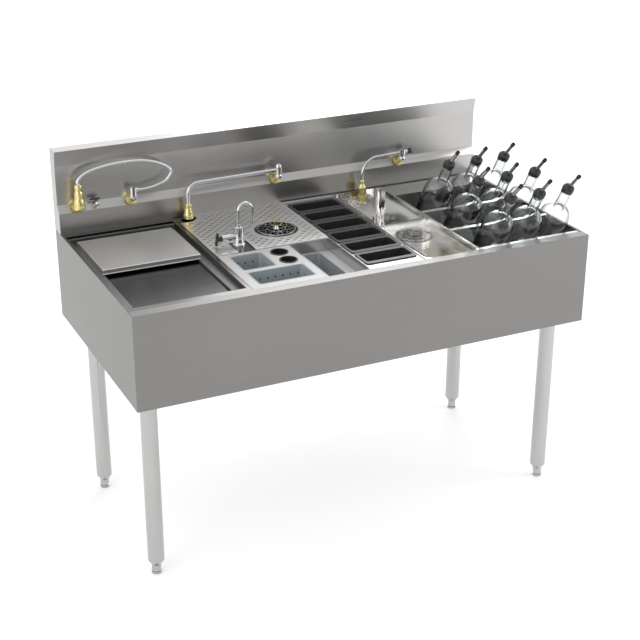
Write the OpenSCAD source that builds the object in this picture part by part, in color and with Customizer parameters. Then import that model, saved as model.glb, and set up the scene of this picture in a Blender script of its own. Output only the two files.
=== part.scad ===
// Cocktail station: ice bin, drainboard with tool bins, garnish pans, dump sink and bottle well.
// Millimetres. Inside the modules x runs from the left end, y from the front face to the wall
// and z up from the floor; place() then centres the station on its bounding box.

/* [Casing] */
// Depth, front face to back
body_d = 616; // [606:1:660]
// Height of the deck above the floor
deck_z = 732; // [700:1:800]
// Height of the casing below the deck
casing_h = 239; // [225:1:300]
// Thickness of the steel sheet
sheet_t = 1.5; // [1:0.1:2]
// Depth of the band folded back from the front face
band_d = 30; // [25:1:32]
// Width of the fold along each side
side_fold = 7; // [6:0.5:8]
// Width of the folds under the casing
bottom_fold = 25; // [15:1:35]

/* [Backsplash] */
// Height of the backsplash above the deck
splash_h = 216; // [190:1:300]
// Depth from the riser to the back
splash_d = 46; // [44:1:60]
// Height of the riser above the deck
riser_h = 54; // [45:1:70]
// Rise of the sloped tap strip
strip_rise = 20; // [16:1:30]
// Depth of the sloped tap strip
strip_run = 12; // [8:1:16]
// Height of the band that leans forward at the top
lean_h = 40; // [20:1:60]
// How far that band leans forward
lean_run = 7; // [0:1:12]
// How far the riser hangs below the deck
riser_drop = 32; // [20:1:40]

/* [Module widths] */
// Ice bin
ice_w = 305; // [300:1:340]
// Drainboard and tool bins
board_w = 305; // [300:1:330]
// Garnish pans
pans_w = 152; // [150:1:165]
// Sink
sink_w = 152; // [146:1:180]
// Bottle well
well_w = 305; // [290:1:340]
// Gap between neighbouring modules
module_gap = 1; // [0.6:0.1:1.5]

/* [Legs] */
// Radius of the leg tubes
leg_r = 20.65; // [19:0.05:22]
// Wall of the leg tubes
leg_wall = 1.6; // [1:0.1:3]
// Inset of the front legs from each side
front_leg_x = 51; // [48:1:60]
// Inset of the rear legs from each side
rear_leg_x = 60; // [50:1:62]
// Inset of the front legs from the front
front_leg_y = 79; // [60:1:120]
// Inset of the rear legs from the back
rear_leg_y = 84; // [60:1:120]
// Height of the foot below the tube
foot_h = 25; // [20:1:40]
// Width of the foot across its corners
foot_w = 25; // [20:1:28]
// Radius of the foot's stem
stem_r = 8; // [6:0.5:9]
// Length of the stem inside the leg
stem_len = 55; // [50:1:70]
// Height of the tapered collar
taper_h = 13; // [8:1:20]
// Width of the channels that carry the legs
channel_w = 68; // [62:1:76]
// Height of those channels
channel_h = 25; // [20:1:30]
// Wall of the sockets round the leg tubes
socket_wall = 3; // [2:0.5:4]

/* [Ice bin] */
// Length of the deck in front of the mouth
ice_front = 50; // [45:1:60]
// Length of the ledge behind the mouth
ice_back = 22; // [18:1:30]
// Width of the deck to the right of the mouth
ice_right = 11; // [8:1:16]
// Depth of the mouth down to the shoulder
shoulder_h = 34.5; // [33:0.5:40]
// Width of the shoulder at each side
shoulder_w = 29; // [27:0.5:32]
// Width of the shoulder at front and back
shoulder_d = 16; // [12:1:24]
// Depth of the bin below the deck
ice_depth = 187; // [150:1:195]
// Inner radius of the bin's corners
ice_corner = 22; // [12:1:30]
// Thickness of the insulation
foam_t = 18; // [10:1:18]
// Height of the upper track above the shoulder
upper_track = 20; // [18:1:22]
// Height of the lower track above the shoulder
lower_track = 4; // [3:0.5:6]
// Width of the lower track
lower_track_w = 6; // [5:0.5:8]
// Height of the rear cover
rear_cover_h = 13.7; // [12:0.1:14]
// Height of the front cover
front_cover_h = 9.7; // [8:0.1:11]
// Length of the front cover
front_cover_len = 258; // [230:1:280]
// Overlap of the two covers when shut
cover_overlap = 21; // [10:1:40]
// Gap between the front cover and the mouth
front_cover_gap = 12; // [4:1:20]
// Gap between the rear cover and the mouth
rear_cover_gap = 35; // [30:1:45]
// How far each cover lies over its track
cover_bearing = 5; // [4:0.5:5.5]

/* [Drainboard] */
// Front edge of the drainboard from the front face
board_front = 264.5; // [262:0.5:268]
// Depth of the basin under the drainboard
basin_depth = 92; // [70:1:120]
// Width of the ledge that carries the drainboard
ledge_w = 12; // [8:1:14]
// Length of a drain slot
slot_len = 14; // [10:0.5:16]
// Width of a drain slot
slot_w = 4; // [3:0.5:5]
// Distance from slot to slot along a row
slot_pitch = 24; // [20:1:30]
// Distance from row to row
row_pitch = 11; // [9:0.5:14]
// Plain edge of the board
board_edge = 7; // [6:1:12]
// Radius of the rinser's rim
rinser_r = 57; // [50:1:60]
// Rinser centre from the board's left edge
rinser_x = 208; // [200:1:225]
// Rinser centre from the board's front edge
rinser_y = 110; // [90:1:140]
// Depth of the rinser's bowl
rinser_depth = 34; // [28:1:45]
// Arms of the rinser's star
star_arms = 8; // [5:1:10]
// Travel of the star when a glass presses it
star_travel = 6; // [3:0.5:6]

/* [Tool bins] */
// Front edge of the tool basin
tool_front = 31; // [31:0.5:34]
// Depth of the tool basin
tool_depth = 122; // [105:1:140]
// Width of the panel that holds the bins
panel_w = 192; // [190:1:196]
// Width of the square bin
square_bin_w = 82; // [70:1:84]
// Length of the square bin
square_bin_d = 93; // [80:1:94]
// Width of the wide bin
wide_bin_w = 142; // [120:1:145]
// Length of the wide bin
wide_bin_d = 75; // [60:1:76]
// Depth of both perforated bins
bin_depth = 98; // [60:1:100]
// Radius of the holes in the bins
bin_hole_r = 2.5; // [1.5:0.5:3]
// Distance between the holes in the bins
bin_hole_pitch = 20; // [16:1:28]
// Radius of the cups
cup_r = 20; // [16:0.5:22]
// Depth of the cups
cup_depth = 60; // [30:1:90]
// How far the plain tray lies below the deck
tray_drop = 34; // [20:1:40]
// Width of the plain tray's opening
tray_w = 46; // [36:1:60]
// Length of the plain tray's opening
tray_d = 160; // [120:1:165]
// Depth of the plain tray
tray_depth = 62; // [40:1:75]

/* [Garnish pans] */
// Number of pans
pan_count = 6; // [6]
// Inner width of a pan
pan_w = 127; // [110:1:128]
// Gap from pan to pan
pan_gap = 3; // [2:0.5:6]
// Depth of a pan
pan_depth = 95; // [60:1:105]
// Wall of a pan
pan_wall = 1.8; // [1.2:0.1:2.2]
// Width of a pan's rim at its two ends
pan_rim_x = 6.5; // [6:0.5:7]
// Width of a pan's rim along its two sides
pan_rim_y = 13.5; // [10:0.5:14]
// Front of the first pan's rim
pans_front = 61; // [58:1:64]
// Length of the ledge behind the last pan
pans_back = 22.5; // [16:0.5:26]
// Depth of the carrier
carrier_depth = 130; // [120:1:150]

/* [Sink] */
// Depth of the bowl below the deck
sink_depth = 131; // [100:1:180]
// Radius of the coves inside the bowl
sink_cove = 20; // [12:1:24]
// Distance from the waste to the bowl's back
waste_back = 72; // [62:1:120]
// Radius of the flat strainer
strainer_r = 52; // [40:1:52]
// Radius of the sink's waste pipe
waste_r = 19.05; // [16:0.05:22]
// Radius of the two smaller waste pipes
small_waste_r = 12.7; // [10:0.1:16]
// How far the waste pipes hang below the casing
waste_drop = 12; // [5:1:30]
// Length of the waste pipes' plain tails
tail_len = 40; // [30:1:50]

/* [Bottle well] */
// Front edge of the well's mouth
well_front = 43; // [43:1:48]
// Width of the ledge behind the mouth
well_ledge = 79.5; // [60:0.5:84]
// How much shorter the last row is than the others
last_row_short = 7.5; // [0:0.5:10]
// Width of the bar under each row
bar_w = 13.5; // [11:0.5:15]
// Height of the plate under each bar
bar_web = 62; // [30:1:64]
// Lean of the bottles toward the front
lean = 30; // [26:1:32]
// Gap from bottle to bottle in a row
bottle_gap = 4.5; // [2:0.5:8]
// Gap to the left of each row, for a hand
hand_gap = 26; // [20:0.5:32]
// Gap to the right of each row
row_end_gap = 19; // [15:0.5:24]
// Height of a bottle's straight body
bottle_body = 178; // [150:1:190]
// Height of a bottle's shoulder
bottle_shoulder = 40; // [36:1:50]
// Height of a bottle's neck
bottle_neck = 62; // [40:1:70]
// Radius of a bottle's neck
neck_r = 14; // [12:0.5:15]
// Height of the stopper above the neck
stopper_h = 14; // [10:1:18]
// Length of the pouring tube, with its tip
pour_len = 55; // [40:1:60]
// Bend of the pouring tube
pour_bend = 14; // [8:1:20]
// Radius of the pouring tube
pour_r = 4.7; // [3:0.1:5]
// Length of the bottle below the bar's edge
bottle_below = 160; // [150:1:164]

/* [Taps] */
// Left base on the strip, from the left end
left_tap_x = 192; // [180:1:200]
// Middle base from the board's left edge
middle_tap_off = 293; // [285:1:302]
// Right base from the sink's left edge
right_tap_off = 211; // [203:1:220]
// Parked filler nozzle
parked_x = 49; // [46:1:54]
// Filler's lever valve
lever_x = 99; // [92:1:110]
// Radius of the threaded shanks
shank_r = 10.3; // [8:0.1:10.6]
// Length of the shanks behind the strip
shank_len = 32; // [20:1:34]
// Width of the brass nuts across their corners
nut_w = 32; // [28:1:34]
// Length of the brass nuts
nut_len = 12; // [8:1:13]
// Reach from the strip to the upright posts
post_out = 29; // [28:0.5:31]
// Radius of the posts
post_r = 6; // [5:0.5:7]
// Height of the arms above the posts' foot
arm_rise = 18; // [16:1:24]
// Reach of the middle spout
middle_reach = 263; // [230:1:268]
// Radius of the middle spout's tube
middle_r = 5.5; // [4:0.5:6]
// Radius of its bend
middle_bend = 30; // [20:1:40]
// Height of its end above the deck
middle_end = 44; // [43:0.5:50]
// Reach of the right spout
right_reach = 131; // [115:1:136]
// Radius of the right spout's tube
right_r = 4; // [3:0.5:5]
// Radius of its bend
right_bend = 48; // [30:1:52]
// Height of its end above the deck
right_end = 38; // [34:0.5:42]
// Parked angle of the middle spout
middle_park = 2.5; // [1:0.5:5]
// Parked angle of the right spout
right_park = 6; // [5:0.5:10]
// Gooseneck from the board's left edge
neck_x = 81; // [76:1:86]
// Gooseneck from the board's front edge
neck_y = 53; // [40:1:60]
// Height of the gooseneck's body
neck_body_h = 51; // [44:1:60]
// Height of the gooseneck's straight pipe
neck_rise = 36; // [30:1:80]
// Radius of the gooseneck's bend
neck_bend = 18; // [14:1:30]
// Radius of the gooseneck's pipe
neck_pipe_r = 4.5; // [4:0.5:6]
// Length of the gooseneck's lever bar
bar_len = 37; // [24:1:40]

/* [Hidden] */
$fn = 48;

// Clearances: a piece on its seat, a pin in its bore, and an insert in its opening
seat = 0.2;
run_gap = 0.05;
slip = 0.5;
// Overshoot of a cut past the face it opens
over = 1;

steel = [0.66, 0.66, 0.65];
dark_steel = [0.40, 0.40, 0.41];
chrome = [0.82, 0.83, 0.84];
brass = [0.79, 0.74, 0.42];
black = [0.08, 0.08, 0.09];
bin_grey = [0.41, 0.44, 0.46];
foam_white = [0.86, 0.86, 0.82];
glass = [0.86, 0.90, 0.92, 0.35];

// Heights of the casing
bottom_z = deck_z - casing_h;
flange_z = deck_z - sheet_t;
top_z = deck_z + splash_h;
strip_z = deck_z + riser_h;
// Depths of the backsplash
riser_y = body_d - splash_d;
wall_y = riser_y + strip_run;
// The bar behind the modules fills this gap
bar_d = 6.5;
rear_y = riser_y - bar_d;
// Left edges of the modules
board_x = ice_w;
pans_x = board_x + board_w;
sink_x = pans_x + pans_w;
well_x = sink_x + sink_w;
body_w = well_x + well_w;
half_gap = module_gap / 2;

// Left-hand normal of the step from a to b
function side(a, b) = let (d = (b - a) / norm(b - a)) [-d[1], d[0]];
// A polyline moved t to its left, mitred at each bend
function beside(p, t) = [for (i = [0 : len(p) - 1])
    let (last = len(p) - 1)
    let (before = side(p[max(i - 1, 0)], p[max(i, 1)]))
    let (after = side(p[min(i, last - 1)], p[min(i + 1, last)]))
    p[i] + t * (before + after) / (1 + before * after)];
function reverse(p) = [for (i = [len(p) - 1 : -1 : 0]) p[i]];

// Folded sheet: the polyline is its outer face and t goes to the left of it
module folded(p, t = sheet_t)
    polygon(concat(p, reverse(beside(p, t))));

// Runs a (y, z) profile along x, or an (x, z) profile along y
module along_x(from, to)
    translate([from, 0, 0]) rotate([90, 0, 90]) linear_extrude(to - from) children();
module along_y(from, to)
    translate([0, to, 0]) rotate([90, 0, 0]) linear_extrude(to - from) children();

// Block between two corners
module block(a, b)
    translate(a) cube(b - a);

// Rectangle with round corners, centred
module rounded(w, d, r) {
    square([w - 2 * r, d], center = true);
    square([w, d - 2 * r], center = true);
    for (x = [-1, 1], y = [-1, 1])
        translate([x * (w / 2 - r), y * (d / 2 - r)]) circle(r);
}

// Tub with round upright corners and coved bottom edges: top face at z = 0
module tub(w, d, h, r, draft = 0)
    hull() {
        translate([0, 0, -over / 10]) linear_extrude(over / 10)
            rounded(w, d, r, $fn = 32);
        for (x = [-1, 1], y = [-1, 1])
            translate([x * (w / 2 - r - draft), y * (d / 2 - r - draft), r - h])
                sphere(r, $fn = 32);
    }

module place()
    translate([-body_w / 2, -origin_y, 0]) children();

module mirrored(w)
    translate([w, 0, 0]) mirror([1, 0, 0]) children();

// ---- Casing ----

module front_panel()
    color(steel) place() along_x(0, body_w)
        folded([[band_d, deck_z], [0, deck_z], [0, bottom_z], [bottom_fold, bottom_z]]);

module side_panel()
    difference() {
        along_y(sheet_t, body_d - sheet_t)
            folded([[side_fold, deck_z], [0, deck_z], [0, bottom_z], [bottom_fold, bottom_z]]);
        // The front band and the riser take the fold's place at its two ends
        block([-over, 0, flange_z], [side_fold + over, band_d, deck_z + over]);
        block([sheet_t, riser_y, flange_z - over], [side_fold + over, body_d, deck_z + over]);
        for (y = [[0, bottom_fold], [body_d - bottom_fold, body_d]])
            block([-over, y[0], bottom_z - over], [bottom_fold + over, y[1], bottom_z + sheet_t]);
    }

module left_side_panel()
    color(steel) place() side_panel();

module right_side_panel()
    color(steel) place() mirrored(body_w) side_panel();

module rear_panel()
    color(steel) place() along_x(0, body_w)
        folded([[body_d - bottom_fold, bottom_z], [body_d, bottom_z], [body_d, top_z - sheet_t]]);

splash_face = [
    [riser_y, strip_z], [wall_y, strip_z + strip_rise],
    [wall_y, top_z - lean_h], [wall_y - lean_run, top_z]];

module backsplash() {
    bottom = [riser_y, deck_z - riser_drop];
    color(steel) place() difference() {
        union() {
            along_x(0, body_w)
                folded(concat([bottom], splash_face, [[body_d, top_z]]), -sheet_t);
            for (x = [0, body_w - sheet_t])
                along_x(x, x + sheet_t)
                    polygon(concat([[riser_y, deck_z]], splash_face,
                        [[body_d - sheet_t, top_z], [body_d - sheet_t, deck_z]]));
        }
        for (x = [-over, body_w - sheet_t])
            block([x, riser_y - over, bottom[1] - over],
                [x + sheet_t + over, riser_y + sheet_t + over, deck_z]);
        for (x = tap_holes)
            on_strip(x) translate([0, 0, -shank_len / 2])
                cylinder(r = shank_r + slip / 2, h = shank_len);
        on_strip(lever_x) translate([0, 0, -shank_len / 2])
            cylinder(r = lever_shank_r + slip / 2, h = shank_len);
    }
}

// ---- Frame, legs and feet ----

channel_z = bottom_z + sheet_t;
leg_top = channel_z + channel_h - sheet_t;
channel_x = (front_leg_x + rear_leg_x) / 2;
leg_spots = [
    [front_leg_x, front_leg_y], [body_w - front_leg_x, front_leg_y],
    [rear_leg_x, body_d - rear_leg_y], [body_w - rear_leg_x, body_d - rear_leg_y]];
rear_bar_top = deck_z - 10;
rear_bar_h = 32;

module leg_channel() {
    left = channel_x - channel_w / 2;
    right = channel_x + channel_w / 2;
    along_y(sheet_t, body_d - sheet_t)
        folded([[right, channel_z], [right, channel_z + channel_h],
            [left, channel_z + channel_h], [left, channel_z]]);
}

module frame_members()
    color(dark_steel) place() {
        leg_channel();
        mirrored(body_w) leg_channel();
        for (spot = leg_spots)
            translate([spot[0], spot[1], channel_z]) difference() {
                cylinder(r = leg_r + socket_wall, h = leg_top - channel_z);
                translate([0, 0, -over])
                    cylinder(r = leg_r + run_gap, h = leg_top - channel_z + 2 * over);
            }
        block([sheet_t, rear_y, rear_bar_top - rear_bar_h],
            [body_w - sheet_t, riser_y, rear_bar_top]);
    }

module leg_tube() {
    inner = leg_r - leg_wall;
    stem_bore = stem_r + run_gap;
    plug_z = foot_h + stem_len + 5;
    rotate_extrude() polygon([
        [stem_bore, foot_h], [foot_w / 2, foot_h], [leg_r, foot_h + taper_h],
        [leg_r, leg_top], [inner, leg_top], [inner, plug_z], [stem_bore, plug_z]]);
}

module leg_tubes()
    color(chrome) place()
        for (spot = leg_spots)
            translate([spot[0], spot[1], 0]) leg_tube();

module foot(spot) {
    pad_h = 6;
    pad_r = foot_w / 2 + 0.5;
    color(chrome) place() translate([spot[0], spot[1], 0]) {
        cylinder(r = pad_r, h = pad_h);
        cylinder(r = foot_w / 2, h = foot_h - seat, $fn = 6);
        cylinder(r = stem_r, h = foot_h + stem_len);
    }
}

module foot_front_left() foot(leg_spots[0]);
module foot_front_right() foot(leg_spots[1]);
module foot_rear_left() foot(leg_spots[2]);
module foot_rear_right() foot(leg_spots[3]);

// ---- Ice bin ----

ice_x0 = side_fold;
ice_x1 = ice_w - ice_right;
ice_y0 = ice_front;
ice_y1 = riser_y - ice_back;
ice_cx = (ice_x0 + ice_x1) / 2;
ice_cy = (ice_y0 + ice_y1) / 2;
mouth_w = ice_x1 - ice_x0;
mouth_d = ice_y1 - ice_y0;
shoulder_z = flange_z - shoulder_h;
bin_w = mouth_w - 2 * shoulder_w;
bin_d = mouth_d - 2 * shoulder_d;
ice_floor = deck_z - ice_depth;
// Front of the flange, hidden under the front band
tuck = band_d - 20;

module ice_bin_liner()
    color(steel) place() difference() {
        union() {
            block([sheet_t, tuck, flange_z - sheet_t], [ice_w - half_gap, riser_y, flange_z]);
            block([ice_x0 - sheet_t, ice_y0 - sheet_t, shoulder_z - sheet_t],
                [ice_x1 + sheet_t, ice_y1 + sheet_t, flange_z]);
            translate([ice_cx, ice_cy, shoulder_z])
                tub(bin_w + 2 * sheet_t, bin_d + 2 * sheet_t,
                    shoulder_z - ice_floor + sheet_t, ice_corner + sheet_t);
        }
        block([ice_x0, ice_y0, shoulder_z], [ice_x1, ice_y1, deck_z]);
        translate([ice_cx, ice_cy, shoulder_z + over / 10])
            tub(bin_w, bin_d, shoulder_z - ice_floor + over / 10, ice_corner);
        translate([ice_cx, ice_cy, ice_floor - 2 * sheet_t])
            cylinder(r = small_waste_r + waste_step + slip / 2, h = 4 * sheet_t);
    }

module ice_bin_jacket() {
    wall = sheet_t + seat;
    top = shoulder_z - sheet_t - seat;
    depth = top - ice_floor + foam_t;
    color(foam_white) place() translate([ice_cx, ice_cy, top]) difference() {
        translate([0, 0, -depth]) linear_extrude(depth)
            rounded(bin_w + 2 * foam_t + 2 * wall, bin_d + 2 * foam_t, ice_corner);
        translate([0, 0, over / 10])
            tub(bin_w + 2 * wall, bin_d + 2 * wall,
                top - ice_floor + wall + over / 10, ice_corner + wall);
        translate([0, 0, -depth - over])
            cylinder(r = small_waste_r + waste_step + slip, h = depth);
    }
}

module track() {
    outer = ice_x0 + seat;
    step = ice_x0 + shoulder_w - lower_track_w;
    edge = ice_x0 + shoulder_w - seat;
    along_y(ice_y0 + seat, ice_y1 - seat) folded([
        [edge, shoulder_z], [edge, shoulder_z + lower_track],
        [step, shoulder_z + lower_track], [step, shoulder_z + upper_track],
        [outer, shoulder_z + upper_track], [outer, shoulder_z]]);
}

module ice_cover_tracks() {
    rail_back = 8;
    rail_d = 10;
    rail_h = 12;
    color(dark_steel) place() {
        track();
        translate([2 * ice_cx, 0, 0]) mirror([1, 0, 0]) track();
        translate([0, ice_y1 - rail_back - rail_d, shoulder_z + upper_track])
            block([ice_x0 + seat, 0, -sheet_t / 2], [ice_x1 - seat, rail_d, rail_h]);
    }
}

rear_cover_w = mouth_w - 2 * (shoulder_w - lower_track_w - cover_bearing);
front_cover_w = bin_w + 2 * cover_bearing;
front_cover_y = ice_y0 + front_cover_gap;
rear_cover_y = front_cover_y + front_cover_len - cover_overlap;
rear_cover_end = ice_y1 - rear_cover_gap;
rear_cover_z = shoulder_z + upper_track + seat;
front_cover_z = shoulder_z + lower_track + seat;

// Inverted shallow tray: a cover with its edges turned down
module cover(w, d, h)
    difference() {
        translate([-w / 2, 0, 0]) cube([w, d, h]);
        translate([sheet_t - w / 2, sheet_t, -over])
            cube([w - 2 * sheet_t, d - 2 * sheet_t, h - sheet_t + over]);
    }

module ice_cover_rear() {
    len = rear_cover_end - rear_cover_y;
    step_len = 23;
    step_h = 2;
    hem_r = 1.5;
    color(steel) place() translate([ice_cx, rear_cover_y, rear_cover_z]) {
        cover(rear_cover_w, len - step_len + sheet_t, rear_cover_h);
        translate([0, len - step_len, 0])
            cover(rear_cover_w, step_len, rear_cover_h - step_h);
        for (z = [hem_r, rear_cover_h - hem_r])
            translate([-rear_cover_w / 2, 0, z]) rotate([0, 90, 0])
                cylinder(r = hem_r, h = rear_cover_w, $fn = 24);
    }
}

module ice_cover_front()
    color(dark_steel) place() translate([ice_cx, front_cover_y, front_cover_z])
        cover(front_cover_w, front_cover_len, front_cover_h);

// ---- Drainboard ----

board_x0 = board_x + half_gap;
board_x1 = pans_x - half_gap;
board_y0 = board_front + half_gap;
board_y1 = riser_y - half_gap;
basin_floor = deck_z - basin_depth;
neck_at = [board_x + neck_x, board_front + neck_y];
rinser_at = [board_x + rinser_x, board_front + rinser_y];
neck_foot_r = 16;
neck_shank_r = 6;
board_waste_back = 90;
board_waste = [(board_x0 + board_x1) / 2, board_y1 - board_waste_back];
rinser_inlet_r = 10.3;

module drain_basin()
    color(steel) place() difference() {
        block([board_x0, board_y0, basin_floor - sheet_t], [board_x1, rear_y, flange_z]);
        block([board_x0 + sheet_t, board_y0 + sheet_t, basin_floor],
            [board_x1 - sheet_t, rear_y - sheet_t, flange_z - sheet_t]);
        // The mouth leaves a ledge all round and a shelf under the gooseneck
        difference() {
            block([board_x0 + ledge_w, board_y0 + ledge_w, basin_floor + over],
                [board_x1 - ledge_w, rear_y - ledge_w, flange_z + over]);
            block([board_x0, board_y0, basin_floor], [neck_at[0] + neck_foot_r + ledge_w / 2,
                neck_at[1] + neck_foot_r + ledge_w / 2, flange_z + 2 * over]);
        }
        translate([neck_at[0], neck_at[1], flange_z - 2 * sheet_t])
            cylinder(r = neck_shank_r + slip / 2, h = 4 * sheet_t);
        translate([board_waste[0], board_waste[1], basin_floor - 2 * sheet_t])
            cylinder(r = small_waste_r + waste_step + slip / 2, h = 4 * sheet_t);
    }

// The two notches: at the parked spout and round the gooseneck
rear_notch_w = 53;
rear_notch_d = 48;
notch_corner = 18;
neck_notch_l = 23;
neck_notch_r = 25;
rear_notch = [board_x + rear_notch_w, board_y1 - rear_notch_d];
neck_notch = [neck_at[0] - neck_notch_l, neck_at[0] + neck_notch_r,
    neck_at[1] + neck_foot_r + module_gap];
slot_margin = 4;
rinser_margin = 3;
rinser_lip = 2;
rinser_hole_r = rinser_r - rinser_lip;

module board_outline()
    difference() {
        translate([board_x0, board_y0])
            square([board_x1 - board_x0, board_y1 - board_y0]);
        polygon([[board_x0 - over, board_y1 + over], [board_x0 - over, rear_notch[1]],
            [rear_notch[0] - notch_corner, rear_notch[1]],
            [rear_notch[0], rear_notch[1] + notch_corner], [rear_notch[0], board_y1 + over]]);
        translate([neck_notch[0], board_y0 - over])
            square([neck_notch[1] - neck_notch[0], neck_notch[2] - board_y0 + over]);
    }

// Stretched hexagon
module drain_slot()
    polygon([for (p = [[-1, 0], [-0.6, 1], [0.6, 1], [1, 0], [0.6, -1], [-0.6, -1]])
        [p[0] * slot_len / 2, p[1] * slot_w / 2]]);

// A slot is cut where all of it lies on the board, off the rinser and both notches
function slot_fits(x, y) =
    let (dx = slot_len / 2 + slot_margin)
    let (dy = slot_w / 2 + slot_margin)
    norm([x, y] - rinser_at) > rinser_r + slot_len / 2 + rinser_margin
    && (x > rear_notch[0] + dx || y < rear_notch[1] - dy)
    && (x < neck_notch[0] - dx || x > neck_notch[1] + dx || y > neck_notch[2] + dy);

module board_slots() {
    half = slot_len / 2 + board_edge;
    rows = floor((board_y1 - board_y0 - 2 * board_edge - slot_w) / row_pitch);
    for (row = [0 : rows]) {
        y = board_y0 + board_edge + slot_w / 2 + row * row_pitch;
        shift = (row % 2) * slot_pitch / 2;
        for (x = [board_x0 + half + shift : slot_pitch : board_x1 - half])
            if (slot_fits(x, y))
                translate([x, y]) drain_slot();
    }
}

module drainboard()
    color(steel) place() translate([0, 0, flange_z]) linear_extrude(sheet_t)
        difference() {
            board_outline();
            board_slots();
            translate(rinser_at) circle(rinser_hole_r);
        }

rinser_wall = 1.5;
rinser_rim_h = 0.9;
rinser_inlet_h = 26;
star_h = 3;
plunger_r = 5;

module rinser_body() {
    outer = rinser_hole_r - slip;
    color(steel) place() translate([rinser_at[0], rinser_at[1], deck_z]) rotate_extrude()
        polygon([
            [plunger_r + run_gap, -rinser_depth - rinser_inlet_h],
            [rinser_inlet_r, -rinser_depth - rinser_inlet_h], [rinser_inlet_r, -rinser_depth],
            [outer, -rinser_depth], [outer, 0],
            [rinser_r, 0], [rinser_r - 1, rinser_rim_h], [outer - rinser_wall, rinser_rim_h],
            [outer - rinser_wall, rinser_wall - rinser_depth],
            [plunger_r + 5, rinser_wall - rinser_depth], [plunger_r + 4, 10 - rinser_depth],
            [plunger_r + run_gap, 10 - rinser_depth]]);
}

module rinser_star() {
    rim = rinser_hole_r - slip - rinser_wall - 2;
    ring_w = 3.2;
    inner_ring = rim * 0.5;
    hub_r = 8;
    bar = 2.8;
    part = 360 / star_arms;
    top = star_travel - 3;
    module strut(turn)
        rotate(turn) translate([0, -bar / 2]) square([rim - ring_w / 2, bar]);
    color(chrome) place() translate([rinser_at[0], rinser_at[1], deck_z + top - star_h]) {
        linear_extrude(star_h) {
            difference() { circle(rim); circle(rim - ring_w); }
            difference() { circle(inner_ring); circle(inner_ring - ring_w); }
            circle(hub_r);
            for (i = [0 : star_arms - 1])
                strut(i * part);
            for (i = [0 : star_arms - 1], s = [-1, 1])
                rotate((i + 0.5) * part) translate([(rim + inner_ring) / 2, 0])
                    rotate(s * 45) square([rim - inner_ring, bar / 1.5], center = true);
        }
        // Jet on top, plunger below
        translate([0, 0, star_h]) cylinder(r1 = 6, r2 = 3, h = 7);
        plunger_len = rinser_depth + top;
        translate([0, 0, star_h - plunger_len]) cylinder(r = plunger_r, h = plunger_len);
    }
}

// ---- Tool bins ----

tool_x0 = board_x + half_gap;
tool_x1 = pans_x - half_gap;
tool_y1 = board_front - half_gap;
panel_z = flange_z - 6;
panel_x1 = board_x + panel_w;
tool_floor = deck_z - tool_depth;
tray_top = deck_z - tray_drop;
// Margins from the edges of the panel and of the basin
square_bin_left = 27;
square_bin_back = 18;
wide_bin_left = 28;
wide_bin_front = 27;
cup_right = 21;
cup_back = 17;
cup_gap = 16;
tray_right = 28.5;
tray_back = 6;
square_bin_at = [board_x + square_bin_left + square_bin_w / 2,
    tool_y1 - square_bin_back - square_bin_d / 2];
wide_bin_at = [board_x + wide_bin_left + wide_bin_w / 2,
    tool_front + wide_bin_front + wide_bin_d / 2];
cup_x = panel_x1 - cup_right - cup_r;
cup_y = tool_y1 - cup_back - cup_r;
cups_at = [[cup_x, cup_y], [cup_x, cup_y - 2 * cup_r - cup_gap]];
bin_flange = 3;
bin_corner = 8;
tray_at = [tool_x1 - tray_right - tray_w / 2, tool_y1 - tray_back - tray_d / 2];

module tool_basin() {
    ledge = 10;
    tray_ledge = tray_back - sheet_t - slip;
    web_x = panel_x1 + slip;
    color(steel) place() {
        difference() {
            union() {
                block([tool_x0, tool_front, tool_floor - sheet_t], [tool_x1, tool_y1, flange_z]);
                block([tool_x0, tuck, flange_z - sheet_t], [tool_x1, tool_front, flange_z]);
            }
            // Left half: the panel lies in a rebate over the basin
            block([tool_x0 + sheet_t, tool_front + sheet_t, panel_z],
                [web_x, tool_y1 - sheet_t, flange_z + over]);
            block([tool_x0 + sheet_t, tool_front + sheet_t, tool_floor],
                [web_x - sheet_t, tool_y1 - sheet_t, panel_z - sheet_t]);
            block([tool_x0 + ledge, tool_front + ledge, tool_floor + over],
                [web_x - sheet_t, tool_y1 - ledge, panel_z + over]);
            // Right half: the plain tray lies deeper
            block([web_x, tool_front + sheet_t, tray_top - sheet_t],
                [tool_x1 - sheet_t, tool_y1 - sheet_t, flange_z + over]);
            block([web_x, tool_front + sheet_t, tool_floor],
                [tool_x1 - sheet_t, tool_y1 - sheet_t, tray_top - 2 * sheet_t]);
            block([web_x, tool_front + ledge, tool_floor + over],
                [tool_x1 - ledge, tool_y1 - tray_ledge, tray_top]);
        }
    }
}

// Opening for a bin: a shallow step in the panel carries the bin's flange
module bin_step(w, d)
    translate([0, 0, -2 * sheet_t]) linear_extrude(2 * sheet_t)
        rounded(w + 2 * (bin_flange + sheet_t), d + 2 * (bin_flange + sheet_t),
            bin_corner + sheet_t);
module bin_cut(w, d) {
    translate([0, 0, -sheet_t]) linear_extrude(2 * sheet_t)
        rounded(w + 2 * bin_flange + slip, d + 2 * bin_flange + slip, bin_corner);
    translate([0, 0, -2 * sheet_t - over]) linear_extrude(2 * sheet_t + over)
        rounded(w + 2 * sheet_t + slip, d + 2 * sheet_t + slip, bin_corner);
}

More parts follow.
